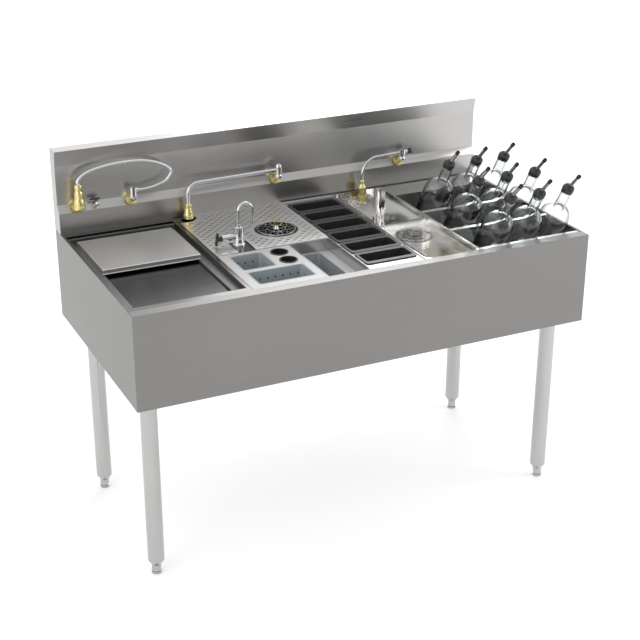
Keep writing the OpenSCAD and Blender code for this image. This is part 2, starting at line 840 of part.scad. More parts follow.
module tool_panel() {
    gap = 0.3;
    w = panel_x1 - tool_x0 - sheet_t - 2 * gap;
    d = tool_y1 - tool_front - 2 * sheet_t - 2 * gap;
    corner = [tool_x0 + sheet_t + gap, tool_front + sheet_t + gap];
    skirt = flange_z - panel_z;
    color(steel) place() difference() {
        union() {
            difference() {
                translate([corner[0], corner[1], panel_z]) cube([w, d, skirt]);
                translate([corner[0] + sheet_t, corner[1] + sheet_t, panel_z - over])
                    cube([w - 2 * sheet_t, d - 2 * sheet_t, skirt - sheet_t + over]);
            }
            translate([square_bin_at[0], square_bin_at[1], flange_z])
                bin_step(square_bin_w, square_bin_d);
            translate([wide_bin_at[0], wide_bin_at[1], flange_z])
                bin_step(wide_bin_w, wide_bin_d);
        }
        translate([square_bin_at[0], square_bin_at[1], flange_z])
            bin_cut(square_bin_w, square_bin_d);
        translate([wide_bin_at[0], wide_bin_at[1], flange_z])
            bin_cut(wide_bin_w, wide_bin_d);
        for (at = cups_at)
            translate([at[0], at[1], panel_z - over])
                cylinder(r = cup_r + sheet_t + slip / 2, h = skirt + 2 * over);
    }
}

// Straight-walled bin with its top face at z = 0
module plain_bin(w, d, h)
    difference() {
        union() {
            translate([0, 0, -h]) linear_extrude(h)
                rounded(w + 2 * sheet_t, d + 2 * sheet_t, bin_corner);
            translate([0, 0, -sheet_t]) linear_extrude(sheet_t)
                rounded(w + 2 * bin_flange, d + 2 * bin_flange, bin_corner);
        }
        translate([0, 0, sheet_t - h]) linear_extrude(h)
            rounded(w, d, bin_corner - sheet_t);
    }

// Two rows of holes round the walls
module bin_holes(w, d) {
    rows = [-0.22, -0.43] * bin_depth;
    across = floor((w / 2 - bin_corner - bin_hole_r) / bin_hole_pitch);
    along = floor((d / 2 - bin_corner - bin_hole_r) / bin_hole_pitch);
    for (z = rows) {
        for (i = [-across : across])
            translate([i * bin_hole_pitch, -d, z]) rotate([-90, 0, 0])
                cylinder(r = bin_hole_r, h = 2 * d, $fn = 16);
        for (i = [-along : along])
            translate([-w, i * bin_hole_pitch, z]) rotate([0, 90, 0])
                cylinder(r = bin_hole_r, h = 2 * w, $fn = 16);
    }
}

module perforated_bin(at, w, d)
    color(bin_grey) place() translate([at[0], at[1], flange_z]) difference() {
        plain_bin(w, d, bin_depth);
        bin_holes(w, d);
    }

module square_bin() perforated_bin(square_bin_at, square_bin_w, square_bin_d);
module wide_bin() perforated_bin(wide_bin_at, wide_bin_w, wide_bin_d);

module cup_pair()
    color(black) place() for (at = cups_at)
        translate([at[0], at[1], flange_z]) rotate_extrude() polygon([
            [0, -cup_depth], [cup_r + sheet_t, -cup_depth], [cup_r + sheet_t, 0],
            [cup_r + bin_flange, 0], [cup_r + bin_flange, sheet_t], [cup_r, sheet_t],
            [cup_r, sheet_t - cup_depth], [0, sheet_t - cup_depth]]);

module plain_tray() {
    gap = 0.3;
    x0 = panel_x1 + slip + gap;
    x1 = tool_x1 - sheet_t - gap;
    color(bin_grey) place() difference() {
        union() {
            block([x0, tool_front + sheet_t + gap, tray_top - sheet_t],
                [x1, tool_y1 - sheet_t - gap, tray_top]);
            translate([tray_at[0], tray_at[1], tray_top - tray_depth]) linear_extrude(tray_depth)
                rounded(tray_w + 2 * sheet_t, tray_d + 2 * sheet_t, bin_corner);
        }
        translate([tray_at[0], tray_at[1], tray_top - tray_depth + sheet_t])
            linear_extrude(tray_depth) rounded(tray_w, tray_d, bin_corner - sheet_t);
    }
}

// ---- Garnish pans ----

carrier_y0 = band_d + 1.5;
pan_ledge_z = flange_z - 2;
pans_cx = pans_x + pans_w / 2;
pan_pitch = (rear_y - pans_front - pans_back) / pan_count;
pan_d = pan_pitch - pan_gap - 2 * pan_rim_y;
pan_rim_h = 2.5;

module pan_carrier() {
    x0 = pans_x + half_gap;
    x1 = sink_x - half_gap;
    floor_z = deck_z - carrier_depth;
    mouth = pan_w / 2 + pan_wall + 1;
    front = pans_front + pan_rim_x;
    back = pans_front + pan_count * pan_pitch - pan_rim_x;
    color(steel) place() difference() {
        union() {
            block([x0, carrier_y0, floor_z - sheet_t], [x1, rear_y, flange_z]);
            block([x0, tuck, flange_z - sheet_t], [x1, carrier_y0, flange_z]);
        }
        block([x0 + sheet_t, carrier_y0 + sheet_t, pan_ledge_z],
            [x1 - sheet_t, rear_y - sheet_t, flange_z + over]);
        block([x0 + sheet_t, carrier_y0 + sheet_t, floor_z],
            [x1 - sheet_t, rear_y - sheet_t, pan_ledge_z - sheet_t]);
        block([pans_cx - mouth, front, floor_z + over],
            [pans_cx + mouth, back, pan_ledge_z + over]);
    }
}

module garnish_pan(i) {
    draft = 3;
    corner = 9;
    at = [pans_cx, pans_front + (i + 0.5) * pan_pitch, pan_ledge_z + seat];
    color(black) place() translate(at) difference() {
        union() {
            linear_extrude(pan_rim_h)
                rounded(pan_w + 2 * pan_rim_x, pan_d + 2 * pan_rim_y, corner);
            translate([0, 0, over / 10])
                tub(pan_w + 2 * pan_wall, pan_d + 2 * pan_wall, pan_depth, corner, draft);
        }
        translate([0, 0, over / 10])
            tub(pan_w, pan_d, pan_depth - pan_wall, corner - pan_wall, draft);
        linear_extrude(pan_rim_h + over) rounded(pan_w, pan_d, corner - pan_wall);
    }
}

module garnish_pan_1() garnish_pan(0);
module garnish_pan_2() garnish_pan(1);
module garnish_pan_3() garnish_pan(2);
module garnish_pan_4() garnish_pan(3);
module garnish_pan_5() garnish_pan(4);
module garnish_pan_6() garnish_pan(5);

// ---- Sink ----

sink_y0 = band_d + 1;
sink_cx = sink_x + sink_w / 2;
sink_cy = (sink_y0 + rear_y) / 2;
sink_in_w = sink_w - 2 * (half_gap + sheet_t);
sink_in_d = rear_y - sink_y0 - 2 * sheet_t;
sink_floor = deck_z - sink_depth;
waste_at = [sink_cx, rear_y - waste_back];
strainer_h = 2;

module sink_bowl()
    color(steel) place() difference() {
        union() {
            translate([sink_cx, sink_cy, flange_z])
                tub(sink_in_w + 2 * sheet_t, sink_in_d + 2 * sheet_t,
                    flange_z - sink_floor + sheet_t, sink_cove + sheet_t);
            block([sink_x + half_gap, tuck, flange_z - sheet_t],
                [well_x - half_gap, sink_y0 + sink_cove, flange_z]);
            block([sink_x + half_gap, rear_y - sink_cove, flange_z - sheet_t],
                [well_x - half_gap, rear_y, flange_z]);
        }
        translate([sink_cx, sink_cy, flange_z + over / 10])
            tub(sink_in_w, sink_in_d, flange_z - sink_floor + over / 10, sink_cove);
        translate([waste_at[0], waste_at[1], sink_floor - 2 * sheet_t])
            cylinder(r = waste_r + waste_step + slip / 2, h = 4 * sheet_t);
    }

module sink_strainer() {
    knob_r = 7;
    ring = 5;
    arms = 10;
    color(chrome) place() translate([waste_at[0], waste_at[1], sink_floor + waste_flange + 2 * seat]) {
        linear_extrude(strainer_h) {
            difference() { circle(strainer_r); circle(strainer_r - ring); }
            difference() { circle(strainer_r * 0.62); circle(strainer_r * 0.62 - ring / 1.5); }
            circle(strainer_r * 0.28);
            for (i = [0 : arms - 1])
                rotate(i * 360 / arms) translate([0, -1.5]) square([strainer_r - 1, 3]);
        }
        cylinder(r = 2.5, h = 12);
        translate([0, 0, 14]) sphere(knob_r);
    }
}

// Waste pipe: a flange on the basin's floor, a body under it and a plain tail below
waste_flange = 1.5;
waste_step = 2;
module waste(at, r, floor_z) {
    lip = 8;
    wall = 1.5;
    bottom = bottom_z - waste_drop;
    tail = bottom + tail_len;
    low = floor_z + seat;
    translate([at[0], at[1], 0]) rotate_extrude() polygon([
        [r - wall, bottom], [r, bottom], [r, tail], [r + waste_step, tail],
        [r + waste_step, low], [r + lip, low],
        [r + lip, low + waste_flange], [r - wall, low + waste_flange]]);
}

module waste_outlets()
    color(chrome) place() {
        waste(waste_at, waste_r, sink_floor);
        waste([ice_cx, ice_cy], small_waste_r, ice_floor);
        waste(board_waste, small_waste_r, basin_floor);
    }

// ---- Bottle well ----

well_in_x0 = well_x + half_gap + sheet_t + 3;
well_in_x1 = body_w - side_fold + 1;
well_mouth_y1 = rear_y - well_ledge;
row_step = (well_mouth_y1 - well_front + last_row_short) / 3;
bottle_r = (well_in_x1 - well_in_x0 - hand_gap - row_end_gap - 2 * bottle_gap) / 6;
bottle_pitch = 2 * bottle_r + bottle_gap;
axis_up = [-sin(lean), cos(lean)];
axis_out = [cos(lean), sin(lean)];
// Rear top edge under row k, which the row's bottles lean on
function lean_edge(k) = [well_front + k * row_step, flange_z];
// Point of a bottle's axis that is s along it from its base
function on_axis(k, s) =
    lean_edge(k) + (bottle_r + seat) * axis_out + (s - bottle_below) * axis_up;
tread_margin = 6;
rack_reach = bottle_r + tread_margin;
rack_drop = seat / cos(lean);
rack_low_z = on_axis(0, 0)[1] - rack_drop - rack_reach * axis_out[1];
well_floor = rack_low_z - sheet_t;
rack_back = 8;
well_rear_y = on_axis(2, 0)[0] + rack_reach * axis_out[0] + rack_back;
bottle_row_x = well_in_x0 + hand_gap + bottle_r + bottle_pitch;

module well_liner()
    color(steel) place() difference() {
        union() {
            block([well_x + half_gap, well_front - sheet_t, well_floor - sheet_t],
                [well_in_x1 + sheet_t, well_rear_y + sheet_t, flange_z]);
            block([well_x + half_gap, tuck, flange_z - sheet_t],
                [body_w - sheet_t, rear_y, flange_z]);
        }
        block([well_in_x0, well_front, well_floor],
            [well_in_x1, well_mouth_y1, flange_z + over]);
        block([well_in_x0, well_front, well_floor],
            [well_in_x1, well_rear_y, flange_z - sheet_t]);
    }

// Stepped floor: each tread lies square to the bottles, each riser along them
function rack_treads(k) =
    let (base = on_axis(k, 0) - [0, rack_drop])
    let (front = base - rack_reach * axis_out)
    let (back = base + rack_reach * axis_out)
    let (foot = back - axis_up * (back[1] - front[1]) / axis_up[1])
    [front, back, foot];

module row_bar(k) {
    edge = lean_edge(k);
    hem = 14;
    along_x(well_in_x0, well_in_x1) folded([
        [edge[0], flange_z - hem], edge,
        edge - [bar_w, 0], edge - [bar_w, bar_web]]);
}

// The last tread ends in a leg that stands on the well's floor
module bottle_rack()
    color(steel) place() {
        last = rack_treads(2);
        along_x(well_in_x0, well_in_x1) folded(concat(
            [[well_front, rack_low_z]], rack_treads(0), rack_treads(1),
            [last[0], last[1], [last[1][0], well_floor]]), -sheet_t);
        row_bar(1);
        row_bar(2);
    }

bottle_wall = 2.2;
stopper_r = neck_r + 1.5;
tip_len = 8;

// Outline of a bottle at r out of its full radius: body, domed shoulder, neck
function shoulder(r, z0, h, to) = [for (a = [0 : 15 : 90])
    [to + (r - to) * cos(a), z0 + h * sin(a)]];

module bottle_glass() {
    inner_r = bottle_r - bottle_wall;
    inner_neck = neck_r - bottle_wall;
    top = bottle_body + bottle_shoulder + bottle_neck;
    foot = 3;
    base_t = 6;
    color(glass) rotate_extrude() polygon(concat(
        [[0, 0], [bottle_r - foot, 0], [bottle_r, foot]],
        shoulder(bottle_r, bottle_body, bottle_shoulder, neck_r),
        [[neck_r, top], [inner_neck, top]],
        reverse(shoulder(inner_r, bottle_body, bottle_shoulder - bottle_wall, inner_neck)),
        [[inner_r, base_t], [0, base_t]]));
}

// Stopper on the neck, with its plug inside, and the bent pouring tube with a dark tip
module pourer() {
    top = bottle_body + bottle_shoulder + bottle_neck;
    plug_r = neck_r - bottle_wall - seat;
    plug_h = 18;
    color(black) translate([0, 0, top + seat]) rotate_extrude() polygon([
        [0, -plug_h], [plug_r - 1, -plug_h], [plug_r, 0], [stopper_r, 0],
        [stopper_r, stopper_h - 3], [stopper_r - 4, stopper_h], [0, stopper_h]]);
    color(chrome) translate([0, 0, top + seat + stopper_h - pour_r]) rotate([pour_bend, 0, 0])
        cylinder(r = pour_r, h = pour_len - tip_len + pour_r, $fn = 24);
    color(black) translate([0, 0, top + seat + stopper_h - pour_r]) rotate([pour_bend, 0, 0])
        translate([0, 0, pour_len - tip_len + pour_r])
            cylinder(r = pour_r + 0.6, h = tip_len, $fn = 24);
}

module bottle(i) {
    row = floor(i / 3);
    column = i % 3;
    base = on_axis(row, 0);
    place() translate([bottle_row_x + (column - 1) * bottle_pitch, base[0], base[1]])
        rotate([lean, 0, 0]) {
            bottle_glass();
            pourer();
        }
}

module bottle_1() bottle(0);
module bottle_2() bottle(1);
module bottle_3() bottle(2);
module bottle_4() bottle(3);
module bottle_5() bottle(4);
module bottle_6() bottle(5);
module bottle_7() bottle(6);
module bottle_8() bottle(7);
module bottle_9() bottle(8);

// The front row's pouring tips stand out past the front face
bottle_top = bottle_body + bottle_shoulder + bottle_neck + seat + stopper_h - pour_r;
pour_angle = lean + pour_bend;
tip_y = on_axis(0, bottle_top)[0] - (pour_len + pour_r) * sin(pour_angle)
    - (pour_r + 0.6) * cos(pour_angle);
origin_y = (body_d + tip_y) / 2;

// ---- Taps on the sloped strip ----

strip_tilt = atan2(strip_rise, strip_run);
strip_mid = [riser_y + strip_run / 2, strip_z + strip_rise / 2];
middle_tap_x = board_x + middle_tap_off;
right_tap_x = sink_x + right_tap_off;
tap_holes = [parked_x, left_tap_x, middle_tap_x, right_tap_x];
post_y = strip_mid[0] - post_out * sin(strip_tilt);
post_z = strip_mid[1] + post_out * cos(strip_tilt);
// To a tenth of a millimetre, so that the parts of each spout meet
arm_z = round(10 * (post_z + arm_rise)) / 10;
stub_r = 8;
body_r = 9.5;
hub_r = 9.5;
hub_h = 13;
hub_z = arm_z - hub_h / 2;
knob_pin_r = 3;
post_shoulder = 1.5;
lever_shank_r = 6;
plinth_r = norm([strip_run, strip_rise]) / 2 - 2 * seat - slip / 2;

// Stands its children on the strip: their z axis is square to it
module on_strip(x)
    translate([x, strip_mid[0], strip_mid[1]]) rotate([strip_tilt, 0, 0]) children();

// Plinth that fits the strip, flange, nut, shank through the strip and lock nut behind it
module brass_base() {
    plinth_t = 2.5;
    flange_t = 2;
    behind = sheet_t + seat;
    cylinder(r = plinth_r, h = plinth_t);
    translate([0, 0, plinth_t]) cylinder(r = nut_w / 2 - 1, h = flange_t);
    translate([0, 0, plinth_t]) cylinder(r = nut_w / 2, h = nut_len - plinth_t, $fn = 6);
    translate([0, 0, -shank_len]) cylinder(r = shank_r, h = shank_len + plinth_t);
    translate([0, 0, -behind - 5]) cylinder(r = shank_r + 4, h = 5, $fn = 6);
}

nozzle_h = 66;
nozzle_foot = 12;

module parked_nozzle()
    rotate_extrude() polygon([
        [0, 0], [14.5, 0], [16, 2], [16, 8], [14, 10], [13.5, 24], [12, 26],
        [10.5, 46], [9, 48], [9, 52], [9.5, 53], [9.5, nozzle_h - 2], [8, nozzle_h],
        [0, nozzle_h]]);

module brass_fittings()
    color(brass) place() {
        for (x = [left_tap_x, middle_tap_x, right_tap_x])
            on_strip(x) brass_base();
        on_strip(parked_x) brass_base();
        on_strip(parked_x) cylinder(r = stub_r, h = post_out);
        translate([parked_x, post_y, post_z - nozzle_foot]) parked_nozzle();
    }

// Chrome body on a brass base: a stub, a round body and the post that an arm turns on
module tap_post(x, pin_h) {
    on_strip(x) translate([0, 0, nut_len]) cylinder(r = stub_r, h = post_out - nut_len);
    translate([x, post_y, post_z]) {
        sphere(body_r);
        cylinder(r = post_r + post_shoulder, h = hub_z - post_z - seat);
        cylinder(r = post_r, h = hub_z + hub_h - post_z);
        cylinder(r = knob_pin_r, h = hub_z + hub_h - post_z + pin_h);
    }
}

module elbow() {
    outlet = left_tap_x + 14;
    on_strip(left_tap_x) translate([0, 0, nut_len]) cylinder(r = stub_r, h = post_out - nut_len);
    translate([left_tap_x, post_y, post_z]) {
        sphere(body_r);
        cylinder(r = body_r, h = arm_rise + 10);
        translate([0, 0, arm_rise]) rotate([0, 90, 0]) cylinder(r = 7, h = outlet - left_tap_x);
    }
}

valve_ball_r = 7;
valve_out = 16;
lever_pin_r = 2;
lever_lift = valve_ball_r + 1;

module lever_valve()
    on_strip(lever_x) {
        translate([0, 0, -shank_len / 2]) cylinder(r = lever_shank_r, h = shank_len / 2);
        cylinder(r = lever_shank_r + 3, h = 2);
        cylinder(r = 5, h = valve_out);
        translate([0, 0, valve_out]) sphere(valve_ball_r);
        translate([0, 0, valve_out]) rotate([-90, 0, 0]) cylinder(r = lever_pin_r, h = lever_lift + 5);
    }

neck_body_r = 12.5;
barrel_z = deck_z + 21;
barrel_r = 8.5;
barrel_end = 46;
neck_top = deck_z + neck_body_h;
handle_pin_r = 3.5;
handle_pin_h = 14;

module gooseneck_body()
    translate([neck_at[0], neck_at[1], 0]) {
        translate([0, 0, flange_z - 24]) cylinder(r = neck_shank_r, h = 24);
        translate([0, 0, flange_z]) rotate_extrude() polygon([
            [0, 0], [neck_foot_r, 0], [neck_foot_r, 2], [neck_body_r, 8],
            [neck_body_r, neck_body_h - 4], [neck_body_r - 2, neck_body_h - 2],
            [pipe_bore, neck_body_h - 2], [pipe_bore, neck_body_h - pipe_depth],
            [0, neck_body_h - pipe_depth]]);
        translate([0, 0, barrel_z]) rotate([0, -90, 0]) {
            cylinder(r = barrel_r - 1.5, h = barrel_end);
            translate([0, 0, 22]) cylinder(r = barrel_r, h = barrel_end - 22);
            cylinder(r = handle_pin_r, h = barrel_end + handle_pin_h);
        }
    }
pipe_bore = neck_pipe_r + run_gap;
pipe_depth = 18;

module faucet_bodies()
    color(chrome) place() {
        elbow();
        tap_post(middle_tap_x, 7);
        tap_post(right_tap_x, 0);
        lever_valve();
        gooseneck_body();
    }

// ---- Filler tube: a held loop from the parked nozzle to the left elbow ----

tube_r = 4.5;
tube_sides = 10;
tube_steps = 3;
// Hand-chosen points (x, z) in the plane of the posts, tied to the nozzle's top and the outlet
nozzle_top = [parked_x, post_z - nozzle_foot + nozzle_h];
outlet_end = [left_tap_x + 14, arm_z];
tube_unit = (left_tap_x - parked_x) / 143;
tube_route = concat(
    [for (p = [[0, 0], [0, 9], [11, 20], [28, 29], [56, 36], [95, 41], [134, 42], [168, 40],
        [200, 33], [226, 22], [242, 10]]) nozzle_top + p * tube_unit],
    [for (p = [[90, 35], [84, 24], [72, 13], [46, 4], [20, 0], [9, 0], [0, 0]])
        outlet_end + p * tube_unit]);

// Smooth curve through p[i] and p[i + 1]
function curve(p, i, u) =
    let (a = p[max(i - 1, 0)], b = p[i], c = p[i + 1], d = p[min(i + 2, len(p) - 1)])
    b + u * (c - a) / 2 + u * u * (2 * a - 5 * b + 4 * c - d) / 2
    + u * u * u * (3 * b - a - 3 * c + d) / 2;
tube_path = concat(
    [for (i = [0 : len(tube_route) - 2], s = [0 : tube_steps - 1])
        curve(tube_route, i, s / tube_steps)],
    [tube_route[len(tube_route) - 1]]);
function heading(p, i) =
    let (d = p[min(i + 1, len(p) - 1)] - p[max(i - 1, 0)]) d / norm(d);

module filler_tube() {
    rings = [for (i = [0 : len(tube_path) - 1], k = [0 : tube_sides - 1])
        let (a = k * 360 / tube_sides)
        let (ends = i == 0 || i == len(tube_path) - 1)
        let (d = ends ? (i == 0 ? [0, 1] : [-1, 0]) : heading(tube_path, i))
        [tube_path[i][0] - d[1] * tube_r * cos(a), post_y + tube_r * sin(a),
            tube_path[i][1] + d[0] * tube_r * cos(a)]];
    last = (len(tube_path) - 1) * tube_sides;
    walls = [for (i = [0 : len(tube_path) - 2], k = [0 : tube_sides - 1])
        let (a = i * tube_sides + k, b = i * tube_sides + (k + 1) % tube_sides)
        [a, b, b + tube_sides, a + tube_sides]];
    caps = [[for (k = [tube_sides - 1 : -1 : 0]) k], [for (k = [0 : tube_sides - 1]) last + k]];
    color(steel) place() polyhedron(points = rings, faces = concat(walls, caps), convexity = 6);
}

module filler_lever() {
    hub = 4;
    arm_t = 4;
    color(black) place() on_strip(lever_x) translate([0, 0, valve_out]) rotate([-90, 0, 0])
        difference() {
            translate([0, 0, lever_lift - 0.5]) {
                cylinder(r = hub, h = 7);
                translate([-17, -2.5, 3]) cube([26, 5, arm_t]);
            }
            cylinder(r = lever_pin_r + run_gap, h = lever_lift + 5 + run_gap);
        }
}

// ---- Swinging spouts ----

// Arm along -x from the pivot, a quarter bend and a drop to z = end_z
module spout(reach, r, bend, end_z) {
    drop = arm_z - bend - end_z;
    translate([0, 0, hub_z]) difference() {
        cylinder(r = hub_r, h = hub_h);
        translate([0, 0, -over]) cylinder(r = post_r + run_gap, h = hub_h + 2 * over);
    }
    translate([bend - reach, 0, arm_z]) rotate([0, 90, 0])
        cylinder(r = r, h = reach - bend - post_r - 1);
    translate([bend - reach, 0, arm_z - bend]) rotate([90, 0, 180])
        rotate_extrude(angle = 90) translate([bend, 0]) circle(r);
    translate([-reach, 0, end_z]) cylinder(r = r, h = drop);
}

module at_pivot(x, park)
    translate([x, post_y, 0]) rotate([0, 0, park]) children();

middle_end_z = deck_z + middle_end;
right_end_z = deck_z + right_end;
middle_nozzle_h = 42.5;
right_nozzle_h = 65;

module middle_spout()
    color(chrome) place() at_pivot(middle_tap_x, middle_park) {
        spout(middle_reach, middle_r, middle_bend, middle_end_z);
        // Sleeve where the arm screws into the hub
        translate([-42, 0, arm_z]) rotate([0, 90, 0]) cylinder(r = middle_r + 2, h = 5);
    }

module middle_nozzle()
    color(brass) place() at_pivot(middle_tap_x, middle_park)
        translate([-middle_reach, 0, middle_end_z - middle_nozzle_h]) rotate_extrude() polygon([
            [0, 14], [8, 14], [8, 0], [11.5, 0], [12.5, 2], [13.5, 3], [13.5, 11], [12.5, 12],
            [9, 29], [8.2, 31], [10.5, 33], [10.5, 40], [8.5, middle_nozzle_h],
            [0, middle_nozzle_h]]);

module middle_knob()
    color(black) place() translate([middle_tap_x, post_y, hub_z + hub_h + seat])
        difference() {
            rotate_extrude() polygon([[0, 0], [8, 0], [9, 1.5], [8, 8], [6, 9.5], [0, 9.5]]);
            translate([0, 0, -over])
                cylinder(r = knob_pin_r + run_gap, h = 7 - seat + over + run_gap);
        }

right_stub = 16;
right_pin = 10;

module right_spout()
    color(chrome) place() at_pivot(right_tap_x, right_park) {
        spout(right_reach, right_r, right_bend, right_end_z);
        translate([0, 0, arm_z]) rotate([0, 90, 0]) {
            translate([0, 0, post_r + 1]) cylinder(r = 6.5, h = right_stub - post_r - 1);
            translate([0, 0, post_r + 1]) cylinder(r = 2.5, h = right_stub + right_pin - post_r - 1);
        }
    }

module right_nozzle()
    color(brass) place() at_pivot(right_tap_x, right_park)
        translate([-right_reach, 0, right_end_z - right_nozzle_h]) rotate_extrude() polygon([
            [0, 20], [8, 20], [8, 0], [10, 0], [12.5, 5], [12.5, 20], [11.8, 21], [11.8, 24],
            [12.5, 25], [11.5, 44], [8, 50], [6.5, 54], [6.5, 62], [5.5, right_nozzle_h],
            [0, right_nozzle_h]]);

module right_knob()
    color(black) place() at_pivot(right_tap_x, right_park)
        translate([right_stub + seat, 0, arm_z]) rotate([0, 90, 0]) difference() {
            rotate_extrude() polygon([[0, 0], [6.5, 0], [7.5, 1.5], [7.5, 12], [5.5, 14], [0, 14]]);
            translate([0, 0, -over])
                cylinder(r = 2.5 + run_gap, h = right_pin - seat + over + run_gap);
        }

// ---- Gooseneck ----

module gooseneck_spout() {
    bend_z = deck_z + neck_body_h + neck_rise;
    foot_z = flange_z + neck_body_h - pipe_depth + seat;
    tip_z = deck_z + 49;
    color(chrome) place() translate([neck_at[0], neck_at[1], 0]) {
        translate([0, 0, foot_z]) cylinder(r = neck_pipe_r, h = bend_z - foot_z);
        translate([0, 0, flange_z + neck_body_h - 2 + seat]) cylinder(r = neck_pipe_r + 3, h = 4);
        translate([neck_bend, 0, bend_z]) rotate([90, 0, 0]) rotate_extrude(angle = 180)
            translate([neck_bend, 0]) circle(neck_pipe_r);
        difference() {
            translate([2 * neck_bend, 0, tip_z]) cylinder(r = neck_pipe_r, h = bend_z - tip_z);
            translate([2 * neck_bend, 0, tip_z - over]) cylinder(r = neck_pipe_r - 1.5, h = 12);
        }
    }
}

module gooseneck_handle() {
    hub = 6.5;
    tilt = 20;
    color(black) place() translate([neck_at[0] - barrel_end - seat, neck_at[1], barrel_z])
        rotate([0, -90, 0]) difference() {
            union() {
                cylinder(r = hub, h = handle_pin_h - 2);
                rotate([0, 0, -tilt]) translate([-bar_len / 2, -3, handle_pin_h - 4])
                    cube([bar_len, 6, 5]);
            }
            translate([0, 0, -over])
                cylinder(r = handle_pin_r + run_gap, h = handle_pin_h - seat + over);
        }
}

front_panel();
left_side_panel();
right_side_panel();
rear_panel();
backsplash();
frame_members();
leg_tubes();
foot_front_left();
foot_front_right();
foot_rear_left();
foot_rear_right();
ice_bin_liner();
ice_bin_jacket();
ice_cover_tracks();
ice_cover_rear();
ice_cover_front();
drain_basin();
drainboard();
rinser_body();
rinser_star();
tool_basin();
tool_panel();
square_bin();
wide_bin();
cup_pair();
plain_tray();
pan_carrier();
garnish_pan_1();
garnish_pan_2();
garnish_pan_3();
garnish_pan_4();
garnish_pan_5();
garnish_pan_6();
sink_bowl();
sink_strainer();
waste_outlets();
well_liner();
bottle_rack();
bottle_1();
bottle_2();
bottle_3();
bottle_4();
bottle_5();
bottle_6();
bottle_7();
bottle_8();
bottle_9();
faucet_bodies();
brass_fittings();
filler_tube();
filler_lever();
middle_spout();
middle_nozzle();
middle_knob();
right_spout();
right_nozzle();
right_knob();
gooseneck_spout();
gooseneck_handle();
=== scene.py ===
import math

import bmesh
import bpy
from mathutils import Matrix, Vector

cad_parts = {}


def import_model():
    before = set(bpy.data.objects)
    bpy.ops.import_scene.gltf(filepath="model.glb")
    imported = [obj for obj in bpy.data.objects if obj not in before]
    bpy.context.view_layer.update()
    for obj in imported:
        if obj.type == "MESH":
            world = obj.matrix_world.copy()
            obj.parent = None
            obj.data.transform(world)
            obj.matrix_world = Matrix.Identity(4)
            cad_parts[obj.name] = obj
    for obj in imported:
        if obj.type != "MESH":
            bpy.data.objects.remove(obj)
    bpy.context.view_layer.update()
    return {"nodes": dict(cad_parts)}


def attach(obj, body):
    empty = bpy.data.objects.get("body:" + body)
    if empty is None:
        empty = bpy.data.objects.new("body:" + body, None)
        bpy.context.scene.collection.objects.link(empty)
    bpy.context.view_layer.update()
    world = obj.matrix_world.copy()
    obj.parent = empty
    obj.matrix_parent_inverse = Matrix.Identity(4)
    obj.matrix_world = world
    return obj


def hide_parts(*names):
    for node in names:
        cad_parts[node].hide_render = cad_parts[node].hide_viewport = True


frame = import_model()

# Millimetres of the station's own frame (x from its left end, y from its front face, z from
# the floor) become metres of the shared frame.
MM = 0.001
HALF_W, ORIGIN_Y = 609.5, 291.8903


def at(x, y, z):
    return Vector(((x - HALF_W) * MM, (y - ORIGIN_Y) * MM, z * MM))


# ---- Camera: the photograph's place, direction and lens ----

CAM_AT = at(-845, -2738, 1992)
CAM_AZ, CAM_EL, CAM_ROLL = (math.radians(a) for a in (25.48, 24.06, 0.13))
SENSOR = 36.0
FOCAL_PX, FRAME_PX = 1405.0, 640.0

ahead = Vector((math.sin(CAM_AZ) * math.cos(CAM_EL), math.cos(CAM_AZ) * math.cos(CAM_EL),
                -math.sin(CAM_EL)))
level = Vector((math.cos(CAM_AZ), -math.sin(CAM_AZ), 0))
up = level.cross(ahead)
right = level * math.cos(CAM_ROLL) + up * math.sin(CAM_ROLL)
up = up * math.cos(CAM_ROLL) - level * math.sin(CAM_ROLL)
camera = bpy.data.objects.new("camera", bpy.data.cameras.new("camera"))
camera.data.sensor_width = SENSOR
camera.data.lens = FOCAL_PX / FRAME_PX * SENSOR
camera.matrix_world = Matrix.Translation(CAM_AT) @ Matrix(
    (right, up, -ahead)).transposed().to_4x4()
bpy.context.scene.collection.objects.link(camera)
bpy.context.scene.camera = camera
bpy.context.scene.view_settings.view_transform = "Standard"


# ---- Node trees ----

def add(tree, kind, inputs=None, **settings):
    """A new node, with its settings, and its inputs set or linked."""
    node = tree.nodes.new(kind)
    for key, value in settings.items():
        setattr(node, key, value)
    for key, value in (inputs or {}).items():
        if isinstance(value, bpy.types.NodeSocket):
            tree.links.new(value, node.inputs[key])
        else:
            node.inputs[key].default_value = value
    return node


def noise(tree, density, detail=3.0):
    """Noise with so many cells a metre along x, y and z of the object."""
    place = add(tree, "ShaderNodeTexCoord").outputs["Object"]
    scaled = add(tree, "ShaderNodeMapping", {"Vector": place, "Scale": density})
    return add(tree, "ShaderNodeTexNoise", {
        "Vector": scaled.outputs["Vector"], "Scale": 1.0, "Detail": detail}).outputs["Fac"]


NOISE_LOW, NOISE_HIGH = 0.3, 0.7


def spread(tree, value, low, high):
    """The usual reach of noise, stretched from low to high."""
    return add(tree, "ShaderNodeMapRange", {
        "Value": value, "From Min": NOISE_LOW, "From Max": NOISE_HIGH,
        "To Min": low, "To Max": high}).outputs["Result"]


def tones(tree, value, dark, light):
    """A colour between dark and light, by a value from 0 to 1."""
    ramp = add(tree, "ShaderNodeValToRGB", {"Fac": value})
    ramp.color_ramp.elements[0].color = (*dark, 1)
    ramp.color_ramp.elements[1].color = (*light, 1)
    return ramp.outputs["Color"]


